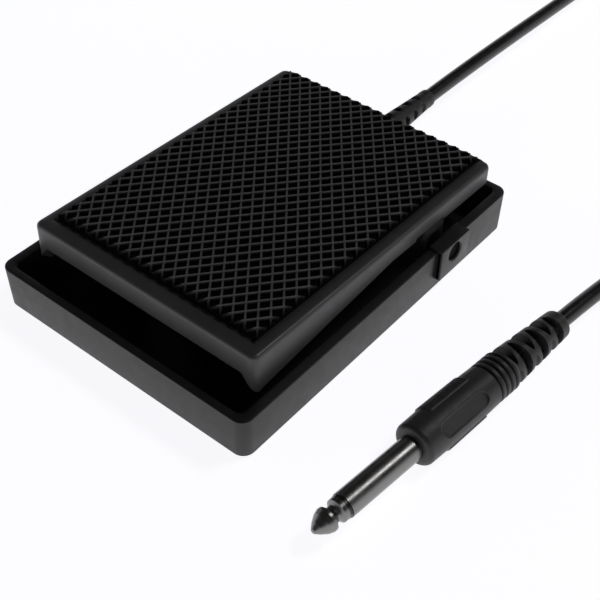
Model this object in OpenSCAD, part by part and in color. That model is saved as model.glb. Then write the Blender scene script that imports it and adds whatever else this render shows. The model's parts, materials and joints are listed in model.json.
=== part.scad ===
// Compact sustain pedal for a keyboard: a hinged tread over an open tray,
// a momentary switch inside, and a moulded lead with a 6.35 mm plug.
// Millimetres. Origin: centre of the underside, on the floor.
// +X is to the player's right, +Y towards the hinge and the cable, +Z up.

/* [Tray] */
// Outer width of the tray
tray_w = 81.6; // [76:0.2:90]
// Outer length of the tray
tray_l = 108; // [104:0.5:116]
// Height of the tray's wall
tray_h = 12.1; // [11.6:0.1:13]
// Radius of the tray's outer corners
tray_r = 3.2; // [2:0.2:6]
// Thickness of the side walls
side_wall = 2.8; // [2.2:0.1:3]
// Thickness of the front and rear walls
end_wall = 2.3; // [2:0.1:2.6]
// Thickness of the rubber mat under the tray
mat_t = 1.5; // [1.2:0.1:1.6]
// How far the mat stands proud of the tray
mat_proud = 0.6; // [0.4:0.1:0.8]

/* [Tread] */
// Outer width of the tread
tread_w = 72.4; // [68:0.2:73]
// Outer length of the tread
tread_l = 96; // [90:0.2:97]
// Radius of the tread's corners
tread_r = 2; // [1.5:0.5:6]
// Thickness of the tread's walls
tread_t = 2.2; // [1.8:0.1:2.4]
// Depth of the side skirt at the front end
skirt_front = 11.8; // [11:0.1:12.4]
// Depth of the side skirt at the hinge end
skirt_rear = 5.8; // [5:0.1:6.4]
// Depth of the skirt across the front
front_skirt = 7; // [6:0.1:9]
// Thickness of the ribbed rubber pad
pad_t = 1.7; // [1.4:0.1:2.4]

/* [Hinge] */
// Place of the hinge axis along the tray
hinge_y = 26.5; // [25:0.5:28]
// Height of the hinge axis above the floor
hinge_z = 10; // [9.6:0.1:10.2]
// Diameter of the hinge hole
hinge_d = 5.4; // [5:0.1:5.6]
// Tilt of the tread at rest, front end up
rest_tilt = 1.6; // [1.4:0.1:2]
// Travel of the tread, from rest to the stops
travel = 4.5; // [4:0.1:4.5]

/* [Lead] */
// Diameter of the cable
cable_d = 4.54; // [4:0.1:4.8]
// Place of the cable outlet across the rear wall
cable_x = -5.4; // [-8:0.1:0]
// Length of the flexible boot behind the tray
boot_l = 29; // [24:1:34]
// Distance behind the tray at which the cable turns back
loop_y = 175; // [165:1:220]

/* [Plug] */
// Diameter of the plug's shaft
shaft_d = 6.35; // [6.35]
// Length of the shaft outside the handle
shaft_l = 31.7; // [30.5:0.1:31.8]
// Diameter of the handle
handle_d = 11.6; // [11:0.1:12.4]
// Length of the handle's grip, before its flexible tail
handle_l = 32; // [28:0.5:36]
// Length of the handle's flexible tail
tail_l = 22.9; // [20:0.1:26]

/* [Hidden] */
$fn = 64;
EPS = 0.01;
GAP = 0.05;             // radial running clearance
SEAT = 0.02;            // radial clearance of parts fixed together

tray_z = mat_proud;                     // underside of the tray
rim_z = tray_z + tray_h;
floor_z = 3;                            // top of the tray's floor
cavity_r = 1.5;

boss_y = [hinge_y - 6.2, hinge_y + 6.2];
boss_top = rim_z + 0.75;
boss_low = 3.8;                         // underside of the proud part outside
boss_proud = 1.5;
boss_x = [tray_w / 2 - side_wall, tray_w / 2 + boss_proud];
boss_skin = 0.5;                        // wall left round the pocket in a boss's front end
pocket_l = 2.4;                         // depth of that pocket, well short of the hinge hole

shell_top = 21.7;                       // top of the shell in the tread's own frame
shell_under = shell_top - tread_t;
tread_y = [-45.2, -45.2 + tread_l];     // the shell's ends in the tread's own frame
knee_y = hinge_y - 20;                  // the side skirts rise as far as this, then run level
notch_y = [boss_y[0] - 3.6, boss_y[1] - 3.9];
notch_h = 0.9;
pad_border = [3.9, 5, 1.4];             // shell left bare beside, in front of and behind the pad
pad_w = tread_w - 2 * pad_border[0];
pad_y = [tread_y[0] + pad_border[1], tread_y[1] - pad_border[2]];
ear_x = [31.1, tread_w / 2 - 0.9];
rib_x = [17, 18.5];                     // the right stiffening rib under the shell
rib_h = 2.5;
pin_d = hinge_d - 2 * GAP;
pin_x = [ear_x[0], boss_x[1] - 0.8];

spring_y = -28;
spring_d = 12;
spring_wire = 1.3;
spring_z = [floor_z + GAP, 16.2];
spigot_d = 8;
catch_x = [9, 15];                      // the right catch, its post and its ledge
catch_y = [-36.5, -34.5, -32];
catch_z = [9.9, 11.5];
bumper = [22, -34, 3];                  // x and y of the right bumper, and its height
bumper_d = 8;

switch_arm = 22;                        // from the hinge axis forward to the switch
switch_y = hinge_y - switch_arm;
board = [30, 22, 1.6];
board_y = switch_y - 1.5;
board_z = 4.8;
board_top = board_z + board[2];
board_screw = [12.2, board_y - 8];
housing = [12, 12, 7];
housing_top = board_top + housing[2];
well_d = 9;
well_z = board_top + 0.8;
cover_t = 0.6;
stem_d = 4.4;
plunger_z = 16.4;                       // top of the plunger at rest
flange = [8.4, 1.4];
flange_z = housing_top - 0.1 - flange[1];
bridge_t = 0.6;
bridge_d = 7.6;
bridge_z = flange_z - bridge_t;
slide_gain = 1.0136;                    // the plunger's travel as a multiple of the arc at its arm
switch_travel = switch_arm * travel * PI / 180 * slide_gain;
terminal_x = 2.9;
terminal_top = bridge_z - switch_travel - GAP;

cable_z = 7.4;                          // height of the cable's axis at the tray
cable_rest = cable_d / 2 + 0.03;        // height of its axis where it lies on the floor
cable_drift = 0.6;                      // how far it wanders sideways on its way to the turn
settle_l = 200;                         // length over which it settles to the floor behind the boot
sink_l = 60;                            // length over which it sinks from the plug to the floor
boot_d = [8.4, 5.3];
boot_neck = 7;
boot_flange = 8.4;
boot_slots = [5, 4.4, 5];               // where the boot's slots start, their pitch and number
boot_slot = [2.6, 1.6, 3.2];            // radius of a slot's floor, its length and its width
jacket_end = 34;                        // where the cable's jacket is stripped, inside the tray
clamp = [17, 6, 3.6];
clamp_y = 42;
clamp_screw_x = 6.2;
wire_d = 1.3;

plug_tip_at = [66.5, -61.9];            // place of the tip on the floor
plug_turn = -5.3;                       // heading of the plug, from +Y
plug_roll = 48;                         // how far it lies rolled to the right
grip = [7, 20.5, 6.2, 0.35];            // the grip panels' start, end, width and height
oval = [5.4, 21.4, 4.2, 0.5];           // the oval panel's start, end, width and depth
plug_z = handle_d / 2 + grip[3] + 0.05;
tip_l = 8.7;
ring_l = 0.8;
rod_d = 2.5;
ring_d = shaft_d - 0.4;                 // the insulating ring behind the tip
sleeve_bore = 4.3;
neck_d = 5.9;                           // the sleeve where it enters the handle
neck_l = 0.8;
sleeve_hidden = 8;                      // length of the sleeve inside the handle
collar_d = 7.6;
handle_end = shaft_l + handle_l;
plug_end = handle_end + tail_l;
core_d = 8;                             // the hollow for the solder joints in the handle
core_l = 11;
ring_grooves = [6.4, 1.8, 4, 0.7];      // start before the grip's end, pitch, number and width
tail_pitch = 6.7;                       // spacing of the slots in the tail
slot_at = [1.2, 4.5];                   // first slot at the sides, and first on top and below
slot_w = [1.9, 2];

// ---- Shared shapes ----

// Outline of a rectangle with rounded corners, its ends at y[0] and y[1].
module rounded_outline(w, y, r, steps = 8) {
    corners = [[w / 2 - r, y[1] - r], [-w / 2 + r, y[1] - r],
               [-w / 2 + r, y[0] + r], [w / 2 - r, y[0] + r]];
    polygon([for (i = [0 : 3]) for (s = [0 : steps])
        corners[i] + r * [cos(90 * (i + s / steps)), sin(90 * (i + s / steps))]]);
}

module slab(w, y, r, z0, z1) {
    translate([0, 0, z0]) linear_extrude(z1 - z0) rounded_outline(w, y, r);
}

// A box given by its lowest and highest corners.
module block(lo, hi) {
    translate(lo) cube(hi - lo);
}

module both_sides() {
    children();
    mirror([1, 0, 0]) children();
}

// A rod along X from x0 to x1.
module rod_x(x0, x1, d) {
    translate([x0, 0, 0]) rotate([0, 90, 0]) cylinder(d = d, h = x1 - x0);
}

// A rod along Y from y0 to y1.
module rod_y(y0, y1, d, d2) {
    translate([0, y0, 0]) rotate([-90, 0, 0])
        cylinder(d1 = d, d2 = is_undef(d2) ? d : d2, h = y1 - y0);
}

// A pan-head screw, its head standing on z = 0 and its shank below.
module screw(head_d, head_h, shank_d, shank_l) {
    difference() {
        union() {
            translate([0, 0, GAP / 2]) cylinder(d = head_d, h = head_h);
            translate([0, 0, -shank_l]) cylinder(d = shank_d, h = shank_l + head_h / 2);
        }
        for (a = [0, 90]) rotate(a)
            translate([0, 0, head_h]) cube([head_d * 0.62, head_h * 0.3, head_h], center = true);
    }
}

// Faces of a closed tube whose rings of points follow one another.
function tube_faces(steps, sides) = concat(
    [[for (s = [sides - 1 : -1 : 0]) s]],
    [for (i = [0 : steps - 1]) for (s = [0 : sides - 1])
        let (a = i * sides + s, b = i * sides + (s + 1) % sides)
        each [[a, b, b + sides], [a, b + sides, a + sides]]],
    [[for (s = [0 : sides - 1]) steps * sides + s]]);

// A coil of round wire with flat-lying end turns, from z0 to z1.
module coil(d, wire, z0, z1, turns, dead = 0.75, sides = 8, per_turn = 20) {
    steps = turns * per_turn;
    r = (d - wire) / 2;
    rise = z1 - z0 - wire;
    live = turns - 2 * dead;
    function height(t) = z0 + wire / 2
        + (t < dead ? wire * t : t > turns - dead ? rise - wire * (turns - t)
           : wire * dead + (rise - 2 * wire * dead) * (t - dead) / live);
    ring = [for (i = [0 : steps]) for (s = [0 : sides - 1])
        let (t = i / per_turn, a = 360 * t, b = 360 * s / sides, q = r + wire / 2 * cos(b))
        [q * cos(a), q * sin(a), height(t) + wire / 2 * sin(b)]];
    polyhedron(ring, tube_faces(steps, sides));
}

// A round cable swept along a smooth, nearly level line of points.
module swept(points, d, sides = 16) {
    last = len(points) - 1;
    function heading(i) = let (v = points[min(i + 1, last)] - points[max(i - 1, 0)]) v / norm(v);
    skin = [for (i = [0 : last])
        let (t = heading(i), side = cross(t, [0, 0, 1]) / norm(cross(t, [0, 0, 1])), up = cross(side, t))
        for (s = [0 : sides - 1]) let (a = 360 * s / sides)
            points[i] + d / 2 * (side * cos(a) + up * sin(a))];
    polyhedron(skin, tube_faces(last, sides));
}

// Points on a smooth curve from p[0] to p[3], leaving and arriving as p[1] and p[2] pull it.
function curve(p, steps = 14) = [for (i = [0 : steps]) let (t = i / steps, u = 1 - t)
    u * u * u * p[0] + 3 * u * u * t * p[1] + 3 * u * t * t * p[2] + t * t * t * p[3]];

// ---- Tray ----

module tray_posts() {
    // Posts under the switch board
    for (x = [-1, 1]) for (y = [board_screw[1], board_y + 8])
        translate([x * board_screw[0], y, floor_z - EPS]) cylinder(d = 5, h = board_z - floor_z);
    // Spigot inside the return spring
    translate([0, spring_y, floor_z - EPS]) cylinder(d = spigot_d, h = 4);
    // Saddle under the cable clamp
    block([cable_x - clamp[0] / 2, clamp_y - clamp[1] / 2, floor_z - EPS],
          [cable_x + clamp[0] / 2, clamp_y + clamp[1] / 2, cable_z]);
    // Catches that hold the tread at rest
    both_sides() {
        block([catch_x[0], catch_y[0], floor_z - EPS], [catch_x[1], catch_y[1], catch_z[1]]);
        block([catch_x[0], catch_y[1] - EPS, catch_z[0]], [catch_x[1], catch_y[2], catch_z[1]]);
    }
}

module hinge_boss() {
    block([boss_x[0], boss_y[0], floor_z - EPS], [tray_w / 2 - 1, boss_y[1], boss_top]);
    block([tray_w / 2 - 1 - EPS, boss_y[0], boss_low], [boss_x[1], boss_y[1], boss_top]);
}

// Pocket that cores out the proud part of a boss from its front end.
module boss_pocket() {
    block([tray_w / 2 + 0.1, boss_y[0] - 1, boss_low + boss_skin],
          [boss_x[1] - boss_skin, boss_y[0] + pocket_l, boss_top - boss_skin]);
}

module base_tray() {
    ends = [-tray_l / 2, tray_l / 2];
    color("#2b2b2c") difference() {
        union() {
            difference() {
                slab(tray_w, ends, tray_r, tray_z, rim_z);
                slab(tray_w - 2 * side_wall, ends + [end_wall, -end_wall], cavity_r, floor_z, rim_z + 1);
            }
            tray_posts();
            both_sides() hinge_boss();
        }
        slab(tray_w - 6, ends + [3, -3], 2, tray_z - 1, mat_t);
        both_sides() translate([0, hinge_y, hinge_z]) rod_x(boss_x[0] - 1, boss_x[1] + 1, hinge_d);
        both_sides() boss_pocket();
        translate([cable_x, 0, cable_z]) {
            rod_y(tray_l / 2 - end_wall - 1, tray_l / 2 + 1, boot_neck + 2 * SEAT);
            rod_y(clamp_y - 4, clamp_y + 4, cable_d + 2 * SEAT);
        }
        for (x = [-1, 1]) {
            translate([x * board_screw[0], board_screw[1], 3.3]) cylinder(d = 2.2 + 2 * SEAT, h = 5);
            translate([cable_x + x * clamp_screw_x, clamp_y, 3.3]) cylinder(d = 2.4 + 2 * SEAT, h = 9);
        }
    }
}

module base_mat() {
    color("#1c1c1c") slab(tray_w - 6.2, [-tray_l / 2 + 3.1, tray_l / 2 - 3.1], 2, 0, mat_t - GAP);
}

module stop_bumpers() {
    color("#202020") both_sides() translate([bumper[0], bumper[1], floor_z])
        cylinder(d = bumper_d, h = bumper[2]);
}

module return_spring() {
    color("silver") translate([0, spring_y, 0])
        coil(spring_d, spring_wire, spring_z[0], spring_z[1], 6);
}

// ---- Tread ----

// Turns children from the tread's own level frame to their tilt at rest.
module at_rest() {
    translate([0, hinge_y, hinge_z]) rotate([-rest_tilt, 0, 0])
        translate([0, -hinge_y, -hinge_z]) children();
}

// The place [y, z] of a point at rest, in the tread's own frame.
function in_tread(y, z) = [
    hinge_y + (y - hinge_y) * cos(rest_tilt) - (z - hinge_z) * sin(rest_tilt),
    hinge_z + (y - hinge_y) * sin(rest_tilt) + (z - hinge_z) * cos(rest_tilt)];

// How far a point this far in front of the hinge drops over the whole travel.
function drop(arm) = arm * sin(travel);

module skirt_cut() {
    // The side skirts rise towards the hinge
    rotate([90, 0, 90]) translate([0, 0, -tread_w]) linear_extrude(2 * tread_w) polygon([
        [tread_y[0] - 5, shell_top - skirt_front], [tread_y[0], shell_top - skirt_front],
        [knee_y, shell_top - skirt_rear], [tread_y[1] + 5, shell_top - skirt_rear],
        [tread_y[1] + 5, -5], [tread_y[0] - 5, -5]]);
    // A shallower skirt across the front, its ends sloping down to the corners
    rotate([90, 0, 0]) translate([0, 0, -tread_y[0] - tread_t - 1]) linear_extrude(tread_t + 5) polygon([
        [-tread_w / 2, 0], [-tread_w / 2 + 3.8, shell_top - front_skirt],
        [tread_w / 2 - 3.8, shell_top - front_skirt], [tread_w / 2, 0]]);
    // Room above the hinge bosses
    block([-tread_w, notch_y[0], 0], [tread_w, notch_y[1], shell_top - skirt_rear + notch_h]);
}

module tread_posts() {
    ear_low = hinge_z - 4;
    both_sides() block([ear_x[0], hinge_y - 4.5, ear_low], [ear_x[1], hinge_y + 4.5, shell_under + EPS]);
    // Ring that locates the return spring
    seat = in_tread(spring_y, spring_z[1] + 0.35);
    translate([0, seat[0], seat[1]]) cylinder(d = spring_d + 2, h = shell_under - seat[1] + EPS);
    translate([0, seat[0], seat[1] - 3]) cylinder(d = spigot_d, h = 3 + EPS);
    // Post with a round tip that presses the switch
    tip_r = 2;
    tip = in_tread(switch_y, plunger_z + GAP + tip_r);
    translate([0, tip[0], tip[1]]) {
        sphere(r = tip_r);
        cylinder(r = tip_r - 0.2, h = shell_under - tip[1] + EPS);
    }
    // Feet that meet the rubber bumpers
    foot = in_tread(bumper[1], floor_z + bumper[2] + drop(hinge_y - bumper[1]) + 0.35);
    both_sides() translate([bumper[0], foot[0], foot[1]]) cylinder(d = 6, h = shell_under - foot[1] + EPS);
    // Hooks under the tray's catches
    hook = in_tread(catch_y[2] + 0.5, catch_z[0] - 0.3);
    hook_x = catch_x + [0.5, -0.5];
    both_sides() {
        block([hook_x[0], hook[0] + 0.4, hook[1] - 1.4], [hook_x[1], hook[0] + 2.2, shell_under + EPS]);
        block([hook_x[0], hook[0] - 1.9, hook[1] - 1.4], [hook_x[1], hook[0] + 0.5, hook[1] - 0.1]);
    }
    // Stiffening ribs
    both_sides() block([rib_x[0], tread_y[0] + 1, shell_under - rib_h],
                       [rib_x[1], tread_y[1] - 1, shell_under + EPS]);
}

module tread_shell() {
    inner_r = max(0.4, tread_r - tread_t);
    color("#303031") at_rest() difference() {
        union() {
            difference() {
                slab(tread_w, tread_y, tread_r, shell_top - skirt_front, shell_top);
                slab(tread_w - 2 * tread_t, tread_y + [tread_t, -tread_t], inner_r, 0, shell_under);
                skirt_cut();
            }
            tread_posts();
        }
        both_sides() translate([0, hinge_y, hinge_z]) rod_x(ear_x[0] - 1, ear_x[1] + 1, pin_d + 2 * SEAT);
    }
}

module tread_pad() {
    color("#3a3a3b") at_rest() slab(pad_w, pad_y, 1.5, shell_top, shell_top + pad_t);
}

module hinge_pins() {
    color("#232324") both_sides() translate([0, hinge_y, hinge_z]) rod_x(pin_x[0], pin_x[1], pin_d);
}

// ---- Switch ----

module switch_board() {
    color("#7a5c2e") difference() {
        block([-board[0] / 2, board_y - board[1] / 2, board_z],
              [board[0] / 2, board_y + board[1] / 2, board_top]);
        for (x = [-1, 1]) {
            translate([x * board_screw[0], board_screw[1], 0]) cylinder(d = 2.6, h = 20);
            translate([x * terminal_x, switch_y, 0]) cube([1.4, 1, 30], center = true);
        }
    }
}

module board_screws() {
    color("silver") for (x = [-1, 1]) translate([x * board_screw[0], board_screw[1], board_top])
        screw(4.4, 1.6, 2.2, 2.6);
}

module switch_housing() {
    color("#1c3f7a") difference() {
        block([-housing[0] / 2, switch_y - housing[1] / 2, board_top],
              [housing[0] / 2, switch_y + housing[1] / 2, housing_top]);
        translate([0, switch_y, well_z]) cylinder(d = well_d, h = housing[2]);
        for (x = [-1, 1]) translate([x * terminal_x, switch_y, 0]) cube([1.1, 0.7, 30], center = true);
    }
}

module switch_cover() {
    color("silver") difference() {
        block([-housing[0] / 2, switch_y - housing[1] / 2, housing_top],
              [housing[0] / 2, switch_y + housing[1] / 2, housing_top + cover_t]);
        translate([0, switch_y, 0]) cylinder(d = stem_d + 2 * GAP, h = 30);
    }
}

module switch_terminals() {
    color("gold") for (x = [-1, 1]) translate([x * terminal_x, switch_y, 0]) {
        block([-0.5, -0.3, board_z - 1.2], [0.5, 0.3, terminal_top - 0.5]);
        translate([0, 0, terminal_top - 0.6]) cylinder(d = 2, h = 0.6);
    }
}

module switch_plunger() {
    color("ivory") translate([0, switch_y, flange_z]) {
        cylinder(d = flange[0], h = flange[1]);
        cylinder(d = stem_d, h = plunger_z - flange_z);
    }
}

module contact_bridge() {
    color("gold") translate([0, switch_y, bridge_z]) cylinder(d = bridge_d, h = bridge_t);
}

module switch_spring() {
    color("silver") translate([0, switch_y, 0])
        coil(3.2, 0.3, well_z + GAP, bridge_z - GAP, 4, sides = 6, per_turn = 16);
}

// ---- Lead ----

module cable_boot() {
    wall = [tray_l / 2 - end_wall, tray_l / 2];
    color("#262628") translate([cable_x, 0, cable_z]) difference() {
        union() {
            rod_y(wall[0] - 1.6, wall[0], boot_flange);
            rod_y(wall[0] - EPS, wall[1] + EPS, boot_neck);
            rod_y(wall[1], wall[1] + boot_l, boot_d[0], boot_d[1]);
        }
        rod_y(wall[0] - 5, wall[1] + boot_l + 5, cable_d + 2 * SEAT);
        // Two rows of slots on each side let the boot bend
        for (i = [0 : boot_slots[2] - 1]) translate([0, wall[1] + boot_slots[0] + i * boot_slots[1], 0])
            for (a = [0, 90]) rotate([0, a, 0])
                both_sides() block([boot_slot[0], -boot_slot[1] / 2, -boot_slot[2] / 2],
                                   [boot_d[0], boot_slot[1] / 2, boot_slot[2] / 2]);
    }
}

module cable_clamp() {
    color("#2a2a2c") difference() {
        block([cable_x - clamp[0] / 2, clamp_y - clamp[1] / 2, cable_z + GAP],
              [cable_x + clamp[0] / 2, clamp_y + clamp[1] / 2, cable_z + clamp[2]]);
        translate([cable_x, 0, cable_z]) rod_y(clamp_y - 9, clamp_y + 9, cable_d + 2 * SEAT);
        for (x = [-1, 1]) translate([cable_x + x * clamp_screw_x, clamp_y, 0]) cylinder(d = 2.6, h = 30);
    }
}

module clamp_screws() {
    color("silver") for (x = [-1, 1])
        translate([cable_x + x * clamp_screw_x, clamp_y, cable_z + clamp[2]]) screw(4.2, 1.6, 2.4, 7);
}

function ease(t) = t * t * (3 - 2 * t);

// Height of the cable's axis at distance s behind the boot.
function settled(s) = cable_z + (cable_rest - cable_z) * ease(min(1, s / settle_l));

// The free cable: it settles to the floor behind the boot as it turns back, and rises to the plug.
function free_cable() =
    let (
        start = [cable_x, tray_l / 2 + boot_l],
        turn_a = [cable_x + cable_drift, loop_y],
        b = [-sin(plug_turn), cos(plug_turn)],
        plug_at = plug_tip_at + b * plug_end,
        // The turn touches both runs
        nb = [-b[1], b[0]],
        r = ((turn_a - plug_at) * nb) / (1 + b[1]),
        centre = turn_a + [r, 0],
        turn_b = centre - r * nb,
        run_a = turn_a[1] - start[1],
        run_b = norm(turn_b - plug_at),
        sweep = 180 - plug_turn
    )
    concat(
        [for (i = [0 : 15]) let (t = ease(i / 16)) [
            start[0] + (turn_a[0] - start[0]) * t, start[1] + run_a * i / 16, settled(run_a * i / 16)]],
        [for (i = [0 : 24]) let (a = 180 - sweep * i / 24) [
            centre[0] + r * cos(a), centre[1] + r * sin(a), settled(run_a + r * sweep * PI / 180 * i / 24)]],
        [for (i = [1 : 14]) let (s = run_b * (1 - i / 14)) [
            plug_at[0] + b[0] * s, plug_at[1] + b[1] * s,
            plug_z + (cable_rest - plug_z) * ease(min(1, s / sink_l))]]);

module cable_jacket() {
    color("#17171c") {
        translate([cable_x, 0, cable_z]) difference() {
            rod_y(jacket_end, tray_l / 2 + boot_l + 0.5, cable_d);
            rod_y(jacket_end - 1, jacket_end + 2, cable_d - 0.8);
        }
        plug_place() rod_y(shaft_l + sleeve_hidden + core_l - 1, plug_end + 0.5, cable_d);
        swept(free_cable(), cable_d * 0.998);
    }
}

// A stripped core from the jacket's end to a pad on the board; side is 1 or -1.
module core_wire(side) {
    from = [cable_x + side * 1.1, jacket_end + 1, cable_z];
    pad = [side * 5, board_y + board[1] / 2 - 2.5, board_top + wire_d / 2 + GAP];
    swept(curve([from, from + [side * 2, -14, 3], pad + [0, 12, 3], pad]), wire_d, 8);
}

module signal_wire() {
    color("#b8352c") core_wire(1);
}

module ground_wire() {
    color("#c9c9c9") core_wire(-1);
}

// ---- Plug ----

module plug_place() {
    translate([plug_tip_at[0], plug_tip_at[1], plug_z])
        rotate(plug_turn) rotate([0, plug_roll, 0]) children();
}

// A solid of revolution about Y from [distance, radius] points.
module turned(profile) {
    rotate([-90, 0, 0]) rotate_extrude() polygon([for (p = profile) [p[1], p[0]]]);
}

module plug_tip() {
    rod_end = shaft_l + sleeve_hidden + 5;
    color("silver") plug_place() turned([[0, 0], [0.3, 0.65], [1.5, 1.65], [3, 2.6], [4.2, 3.02],
        [4.9, 3], [5.5, 2.3], [6.1, 1.95], [6.9, 2.1], [7.5, 2.9], [tip_l, 2.95], [tip_l, rod_d / 2],
        [rod_end, rod_d / 2], [rod_end, 0]]);
}

module plug_bush() {
    back = shaft_l + sleeve_hidden + 2;
    color("#151515") plug_place() turned([[tip_l + SEAT, rod_d / 2 + SEAT], [tip_l + SEAT, ring_d / 2],
        [tip_l + ring_l, ring_d / 2], [tip_l + ring_l, sleeve_bore / 2 - SEAT],
        [back, sleeve_bore / 2 - SEAT], [back, rod_d / 2 + SEAT]]);
}

module plug_sleeve() {
    color("silver") plug_place() difference() {
        union() {
            rod_y(tip_l + ring_l + SEAT, shaft_l - SEAT, shaft_d);
            rod_y(shaft_l - 1, shaft_l + neck_l + EPS, neck_d);
            rod_y(shaft_l + neck_l, shaft_l + sleeve_hidden, collar_d);
        }
        rod_y(tip_l, shaft_l + sleeve_hidden + 1, sleeve_bore);
    }
}

// Slots at the sides of the tail alternate with slots on top and below.
module tail_slots() {
    depth = handle_d * 0.4;
    reach = handle_d * 0.42;
    across = 7;
    for (i = [0 : 2]) for (s = [-1, 1]) {
        translate([0, handle_end + slot_at[1] + i * tail_pitch, s * reach])
            cube([across, slot_w[1], depth], center = true);
        translate([s * reach, handle_end + slot_at[0] + i * tail_pitch, 0])
            cube([depth, slot_w[0], across], center = true);
    }
}

// A raised panel on each side, for the fingers
module grip_panels() {
    translate([0, shaft_l, 0]) both_sides() intersection() {
        rod_y(grip[0], grip[1], handle_d + 2 * grip[3]);
        block([handle_d / 2 - 2, 0, -grip[2] / 2], [handle_d, grip[1] + 1, grip[2] / 2]);
    }
}

module plug_handle() {
    r = handle_d / 2;
    ends = [oval[0] + oval[2] / 2, oval[1] - oval[2] / 2];
    color("#28282a") plug_place() difference() {
        union() {
            turned([[shaft_l, 0], [shaft_l, r - 1.4], [shaft_l + 1.2, r - 0.25], [shaft_l + 12, r - 0.15],
                [handle_end - 7, r - 0.4], [handle_end, r - 0.5], [plug_end - 4, r - 1.5],
                [plug_end, r - 1.9], [plug_end, 0]]);
            grip_panels();
        }
        rod_y(shaft_l - 1, shaft_l + 1, neck_d + 2 * SEAT);
        rod_y(shaft_l + neck_l - SEAT, shaft_l + sleeve_hidden + core_l, core_d);
        rod_y(plug_end - 60, plug_end + 1, cable_d + 2 * SEAT);
        // Shallow oval panel on top of the grip
        translate([0, shaft_l, r - 0.2 - oval[3]]) {
            for (y = ends) translate([0, y, 0]) cylinder(d = oval[2], h = 2);
            block([-oval[2] / 2, ends[0], 0], [oval[2] / 2, ends[1], 2]);
        }
        // Rings behind the grip
        for (i = [0 : ring_grooves[2] - 1])
            translate([0, handle_end - ring_grooves[0] + i * ring_grooves[1], 0]) difference() {
            rod_y(0, ring_grooves[3], handle_d + 2);
            rod_y(-1, 2, handle_d - 1.9);
        }
        tail_slots();
    }
}

base_tray();
base_mat();
stop_bumpers();
return_spring();
tread_shell();
tread_pad();
hinge_pins();
switch_board();
board_screws();
switch_housing();
switch_cover();
switch_terminals();
switch_plunger();
contact_bridge();
switch_spring();
cable_boot();
cable_clamp();
clamp_screws();
cable_jacket();
signal_wire();
ground_wire();
plug_handle();
plug_sleeve();
plug_bush();
plug_tip();
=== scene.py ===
"""Looks of a compact sustain pedal and its lead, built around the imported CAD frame.

Shapes are modelled in millimetres in a local frame, then placed in the row frame, which is in metres.
"""

import json
import math

import bmesh
import bpy
import numpy as np
from mathutils import Matrix, Vector


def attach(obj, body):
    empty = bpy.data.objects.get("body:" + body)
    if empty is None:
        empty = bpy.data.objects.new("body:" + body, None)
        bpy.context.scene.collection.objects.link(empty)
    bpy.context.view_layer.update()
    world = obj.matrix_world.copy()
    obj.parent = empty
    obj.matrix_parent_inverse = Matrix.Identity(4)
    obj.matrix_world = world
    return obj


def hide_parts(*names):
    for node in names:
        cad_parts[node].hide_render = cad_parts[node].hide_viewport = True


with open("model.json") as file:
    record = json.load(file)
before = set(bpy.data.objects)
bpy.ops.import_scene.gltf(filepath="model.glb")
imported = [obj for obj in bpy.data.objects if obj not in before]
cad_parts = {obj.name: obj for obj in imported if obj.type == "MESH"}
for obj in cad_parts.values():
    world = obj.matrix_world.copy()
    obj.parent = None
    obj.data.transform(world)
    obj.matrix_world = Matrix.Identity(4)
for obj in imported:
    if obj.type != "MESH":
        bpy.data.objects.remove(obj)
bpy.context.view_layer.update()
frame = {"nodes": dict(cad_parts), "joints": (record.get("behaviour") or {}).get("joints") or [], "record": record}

MM = 0.001
LEVEL = Matrix.Identity(4)

# The tread is modelled level, then tilted about its hinge as it stands at rest.
HINGE = Vector(next(j for j in frame["joints"] if j["name"] == "tread_hinge")["pos_m"]) / MM
REST_TILT = math.radians(1.6)
TREAD = Matrix.Translation(HINGE) @ Matrix.Rotation(-REST_TILT, 4, "X") @ Matrix.Translation(-HINGE)

PLUG_ROLL = math.radians(48)


def extent(node, place=LEVEL):
    """Lowest and highest corner of a CAD node, in mm, in the local frame that place puts in the row frame."""
    back = place.inverted()
    points = np.array([back @ (v.co / MM) for v in frame["nodes"][node].data.vertices])
    return points.min(0), points.max(0)


def centre(node, place=LEVEL):
    low, high = extent(node, place)
    return (low + high) / 2


def plug_frame():
    """The plug lies turned and rolled on the floor; its own frame has +Y from the tip's end to the cable."""
    mount = next(m for m in frame["record"]["mounts"] if m["name"] == "plug_shaft")
    along = -Vector(mount["axis"]).normalized()
    spin = Matrix.Rotation(math.atan2(-along[0], along[1]), 4, "Z") @ Matrix.Rotation(PLUG_ROLL, 4, "Y")
    middle = Matrix.Translation(Vector(mount["pos_m"]) / MM) @ spin
    return middle @ Matrix.Translation((0, extent("plug_tip", middle)[0][1], 0))


# ---- Small maths ----

def clamp(t, low=0.0, high=1.0):
    return max(low, min(high, t))


def ease(t):
    """Smooth step from 0 at t = 0 to 1 at t = 1."""
    t = clamp(t)
    return t * t * (3 - 2 * t)


def mix(a, b, t):
    return a + (b - a) * t


def line_through(points, x):
    """Height at x of the broken line through (x, height) points."""
    return float(np.interp(x, [p[0] for p in points], [p[1] for p in points]))


def quarter(steps):
    """Sine and cosine of angles from 0 to 90 degrees."""
    angles = [math.radians(90 * s / steps) for s in range(steps + 1)]
    return [(math.sin(a), math.cos(a)) for a in angles]


# ---- Meshes ----

def new_object(name, verts, faces):
    mesh = bpy.data.meshes.new(name)
    mesh.from_pydata([tuple(v) for v in verts], [], faces)
    mesh.validate()
    obj = bpy.data.objects.new(name, mesh)
    bpy.context.scene.collection.objects.link(obj)
    return obj


def from_bmesh(name, bm):
    obj = new_object(name, [], [])
    bm.to_mesh(obj.data)
    bm.free()
    return obj


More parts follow.
